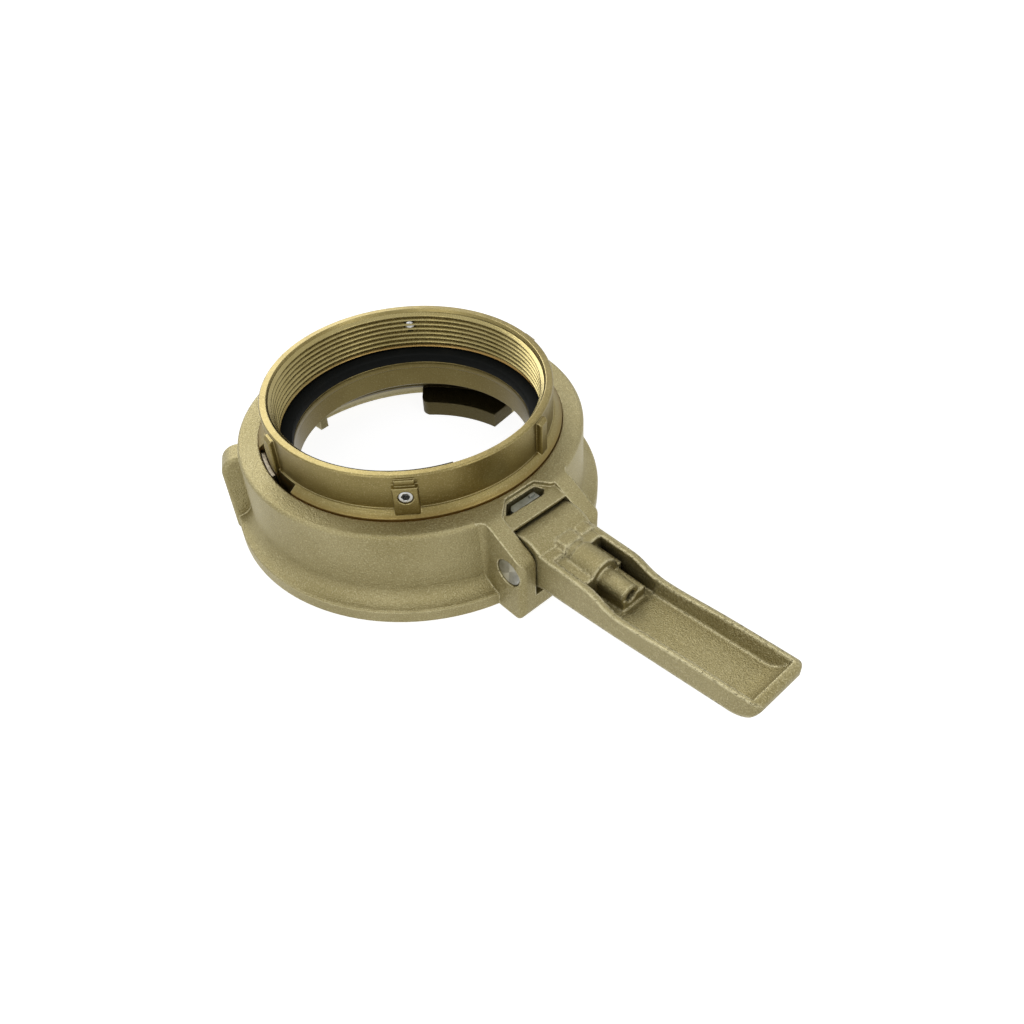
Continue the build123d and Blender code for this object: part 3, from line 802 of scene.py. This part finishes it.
@dataclass
class ScrewTip:
    """The bright end of a set screw in its hole between the threads."""

    angle: float = 141.6
    z: float = 50.7 * MM
    radius: float = 2.2 * MM
    hole_r: float = 3.0 * MM
    wall_r: float = 57.0 * MM
    crest_r: float = 55.3 * MM
    sides: int = 36
    cup: tuple = ((1.0, 0.0), (1.0, 0.55), (0.9, 0.72), (0.45, 0.95), (0.2, 1.0))
    hole: tuple = ((1.0, 0.0), (1.0, 0.62), (0.97, 0.66))

    def build(self) -> bpy.types.Object:
        """Builds the tip and the dark sheet round it, painted shade of its hole, on one axis,
        then lays them in the body's wall.

        The pairs of cup and hole are shares of their radius and of the wall's depth.

        Returns:
            The tip, with a slot for the steel and one for the hole.
        """
        reach = self.wall_r - self.crest_r
        tip = [(self.radius * out, reach * along) for out, along in self.cup]
        hole = [(self.hole_r * out, reach * along) for out, along in self.hole]
        screw = Lathe(self.sides).turn("set_screw_tip", [tip, hole], closed=False)
        into_wall = Matrix.Rotation(math.radians(self.angle), 4, "Z")
        into_wall = into_wall @ Matrix.Translation((self.wall_r, 0, self.z))
        into_wall = into_wall @ Matrix.Rotation(math.radians(-90), 4, "Y")
        screw.data.transform(into_wall)
        return screw


@dataclass
class HoseSeal:
    """The black washer under the hose, as pressed down over the edge of its seat."""

    seat_z: float = 35.5 * MM
    top_z: float = 38.4 * MM
    bore_r: float = 51.0 * MM
    outer_r: float = 57.6 * MM
    hang: float = 1.5 * MM
    overhang: float = 0.35 * MM
    seat_edge: float = 0.5 * MM
    lift: float = 0.02 * MM
    bevel: float = 0.3 * MM
    slope: float = 0.9 * MM
    foot_in: float = 0.2 * MM
    root: float = 0.1 * MM

    def build(self) -> bpy.types.Object:
        """Builds the washer.

        Returns:
            The washer.
        """
        inner = self.bore_r - self.overhang
        foot = self.seat_z - self.hang
        section = [
            (self.bore_r + self.seat_edge, self.seat_z + self.lift),
            (self.outer_r, self.seat_z + self.lift),
            (self.outer_r, self.top_z - self.bevel),
            (self.outer_r - self.bevel, self.top_z),
            (inner + self.slope, self.top_z),
            (inner + self.bevel, self.top_z - self.bevel),
            (inner, self.top_z - self.slope),
            (inner, foot + self.bevel),
            (inner + self.foot_in, foot),
            (self.bore_r + self.root, foot),
        ]
        return Lathe().turn("hose_seal", [section])


@dataclass
class BoreLip:
    """The rounded shoulder at the top of the bore, under the washer."""

    top_z: float = 34.1 * MM
    bore_r: float = 51.0 * MM
    proud: float = 0.55 * MM
    depth: float = 3.4 * MM
    root: float = 0.1 * MM
    steps: int = 12
    fullness: float = 0.8

    def build(self) -> bpy.types.Object:
        """Builds the shoulder.

        Returns:
            The shoulder.
        """
        section = [(self.bore_r + self.root, self.top_z)]
        for step in range(self.steps + 1):
            turn = math.pi * step / self.steps
            out = math.sin(turn) ** self.fullness
            along = (1 - math.cos(turn)) / 2
            section.append((self.bore_r - self.proud * out, self.top_z - self.depth * along))
        section.append((self.bore_r + self.root, self.top_z - self.depth))
        return Lathe().turn("bore_shoulder", [section])


@dataclass
class Dresser:
    """Gives the CAD nodes their finishes."""

    nodes: dict

    def dress(self, node: str, material: bpy.types.Material) -> None:
        """Puts a material on a node.

        Args:
            node: The node's name.
            material: Its finish.
        """
        data = self.nodes[node].data
        if not data.materials:
            data.materials.append(material)
        for index in range(len(data.materials)):
            data.materials[index] = material
        LOG.info("%s dressed in %s", node, material.name)


@dataclass
class SwivelBody:
    """The threaded body with its seals, wire and set screws."""

    thread: HoseThread = field(default_factory=HoseThread)
    tip: ScrewTip = field(default_factory=ScrewTip)
    seal: HoseSeal = field(default_factory=HoseSeal)
    lip: BoreLip = field(default_factory=BoreLip)
    turned: Brass = TURNED_BRASS
    ridge: Brass = THREAD_BRASS
    bright: Steel = BRIGHT_STEEL
    wire: Steel = WIRE_STEEL
    rubber: Rubber = SEAL_RUBBER
    painted_shade: Rubber = HOLE_SHADE_SKIN

    def build(self, dresser: Dresser) -> None:
        """Builds and dresses the body.

        Args:
            dresser: Gives the nodes their finishes.
        """
        brass = self.turned.make()
        dresser.dress("threaded_body", brass)
        self.add(self.thread.build(), self.ridge.make(), "turned_brass")
        self.add(self.lip.build(), brass, "turned_brass")
        dresser.dress("retaining_wire", self.wire.make())
        self.add_screws(dresser)
        self.add_seals(dresser)

    def add_screws(self, dresser: Dresser) -> None:
        """Dresses the set screws and adds the tip that shows in the mouth.

        Args:
            dresser: Gives the nodes their finishes.
        """
        bright = self.bright.make()
        dresser.dress("set_screw_front", bright)
        dresser.dress("set_screw_rear", bright)
        tip = self.tip.build()
        self.add(tip, bright, "steel_bright")
        # The sheet round the tip takes the second slot: painted shade of the screw's hole.
        tip.data.materials.append(self.painted_shade.make())

    def add_seals(self, dresser: Dresser) -> None:
        """Dresses the seals and puts the pressed washer in the place of the flat one.

        Args:
            dresser: Gives the nodes their finishes.
        """
        rubber = self.rubber.make()
        dresser.dress("thread_seal", rubber)
        dresser.dress("face_seal", rubber)
        seal = self.seal.build()
        self.add(seal, rubber, "seal_rubber")
        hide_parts("thread_seal")

    @staticmethod
    def add(piece: bpy.types.Object, finish: bpy.types.Material, slot: str) -> None:
        """Gives a new piece its finish and lets it ride on the body.

        Args:
            piece: The piece.
            finish: Its material.
            slot: Not used.
        """
        piece.data.materials.append(finish)
        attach(piece, "swivel_body")
        LOG.info("%s has %d faces", piece.name, len(piece.data.polygons))


@dataclass
class RingAssembly:
    """The clawed ring and the shoe in its side."""

    casting: Brass = CAST_BRASS
    plate: Steel = PLATED_STEEL

    def build(self, dresser: Dresser) -> None:
        """Dresses the ring and the shoe.

        Args:
            dresser: Gives the nodes their finishes.
        """
        dresser.dress("coupling_ring", self.casting.make())
        dresser.dress("pressure_shoe", self.plate.make())


@dataclass
class LeverAssembly:
    """The lever with its pin and the dowel that locks it."""

    casting: Brass = LEVER_BRASS
    pin: Steel = PIN_STEEL

    def build(self, dresser: Dresser) -> None:
        """Dresses the lever, and its pins with a painted bow-tie highlight round the lever
        pin's axis.

        Args:
            dresser: Gives the nodes their finishes.
        """
        dresser.dress("lever", self.casting.make())
        low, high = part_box("lever_pin")
        middle = ((low[0] + high[0]) / 2, 0.0, (low[2] + high[2]) / 2)
        steel = replace(self.pin, highlight_centre=middle).make()
        dresser.dress("lever_pin", steel)
        dresser.dress("lever_lock_pin", steel)


@dataclass(frozen=True)
class Lamp:
    """A square soft lamp aimed at the origin, in metres and watts."""

    name: str
    place: tuple
    size: float
    power: float

    def hang(self) -> None:
        """Hangs the lamp."""
        data = bpy.data.lights.new(self.name, "AREA")
        data.size = self.size
        data.energy = self.power
        lamp = bpy.data.objects.new(self.name, data)
        lamp.location = self.place
        lamp.rotation_euler = (-Vector(self.place)).to_track_quat("-Z", "Y").to_euler()
        bpy.context.scene.collection.objects.link(lamp)


@dataclass
class Studio:
    """Floor, lamps, world and camera."""

    eye: Vector = field(default_factory=lambda: Vector((262.2, -173.6, 272.7)) * MM)
    pan: float = 5.47
    tilt: float = 2.27
    roll: float = 7.40
    lens: float = 32.02
    sensor: float = 36.0
    nearest: float = 10 * MM
    backdrop_rays: tuple = ("Is Camera Ray", "Is Glossy Ray", "Is Transmission Ray")
    floor_half: float = 6.0
    floor_drop: float = 0.05 * MM
    floor_lift: float = 0.9
    paper: tuple = (0.4, 0.4, 0.4, 1.0)
    cloth: tuple = (0.6, 0.6, 0.59, 1.0)
    world_fill: float = 0.42
    lamps: tuple = (
        Lamp("key", (-0.95, 0.18, 0.66), size=0.85, power=7.4),
        Lamp("fill", (0.30, -0.88, 0.75), size=0.5, power=2.0),
        Lamp("rim", (0.92, 0.14, 0.75), size=0.4, power=1.6),
    )

    def camera(self) -> None:
        """Sets the camera, aimed at the origin and then turned by pan, tilt and roll."""
        back = self.eye.normalized()
        right = Vector((0, 0, 1)).cross(back).normalized()
        up = back.cross(right)
        look = Matrix((right, up, back)).transposed()
        turn = Matrix.Rotation(-math.radians(self.pan), 3, "Y")
        turn = turn @ Matrix.Rotation(-math.radians(self.tilt), 3, "X")
        turn = turn @ Matrix.Rotation(-math.radians(self.roll), 3, "Z")
        data = bpy.data.cameras.new("camera")
        data.lens = self.lens
        data.sensor_width = self.sensor
        data.clip_start = self.nearest
        camera = bpy.data.objects.new("camera", data)
        camera.matrix_world = Matrix.Translation(self.eye) @ (look @ turn).to_4x4()
        bpy.context.scene.collection.objects.link(camera)
        bpy.context.scene.camera = camera

    def backdrop(self, sheet: Sheet) -> Sock:
        """Finds the rays that see the floor and the world as white.

        Args:
            sheet: The node sheet.

        Returns:
            1 for those rays, 0 for the light that falls on the object.
        """
        seen, gloss, through = (
            sheet.add("ShaderNodeLightPath", output=name) for name in self.backdrop_rays
        )
        return (seen + gloss + through).clipped()

    def floor(self) -> None:
        """Lays the pale floor, white to the camera and still holding the shadow."""
        half, z = self.floor_half, -self.floor_drop
        corners = [(-half, -half, z), (half, -half, z), (half, half, z), (-half, half, z)]
        data = bpy.data.meshes.new("floor")
        data.from_pydata(corners, [], [(0, 1, 2, 3)])
        floor = bpy.data.objects.new("floor", data)
        bpy.context.scene.collection.objects.link(floor)
        sheet = Sheet(bpy.data.materials.new("pale floor"))
        light = {"Color": WHITE, "Strength": self.floor_lift}
        lift = sheet.add("ShaderNodeEmission", {}, light)
        paper = sheet.add("ShaderNodeBsdfDiffuse", {}, {"Color": self.paper})
        seen = sheet.add("ShaderNodeAddShader", {}, {0: lift, 1: paper})
        cloth = sheet.add("ShaderNodeBsdfDiffuse", {}, {"Color": self.cloth})
        mix = {0: self.backdrop(sheet), 1: cloth, 2: seen}
        sheet.add_output(sheet.add("ShaderNodeMixShader", {}, mix))
        data.materials.append(sheet.owner)

    def world(self) -> None:
        """Sets a plain world: white to the camera and in gloss, softer as light."""
        world = bpy.data.worlds.new("studio")
        sheet = Sheet(world)
        strengths = {"Value": self.backdrop(sheet), "To Min": self.world_fill, "To Max": 1.0}
        strength = sheet.add("ShaderNodeMapRange", {}, strengths)
        sky = sheet.add("ShaderNodeBackground", {}, {"Color": WHITE, "Strength": strength})
        sheet.add_output(sky, "ShaderNodeOutputWorld")
        bpy.context.scene.world = world

    def build(self) -> None:
        """Sets up the whole studio."""
        self.camera()
        self.floor()
        for lamp in self.lamps:
            lamp.hang()
        self.world()
        bpy.context.scene.view_settings.view_transform = "Standard"
        LOG.info("studio set")


def main() -> None:
    """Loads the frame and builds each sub-assembly."""
    logging.basicConfig(level=logging.INFO, format="%(message)s")
    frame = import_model()
    dresser = Dresser(frame["nodes"])
    SwivelBody().build(dresser)
    RingAssembly().build(dresser)
    LeverAssembly().build(dresser)
    Studio().build()


if __name__ == "__main__":
    main()
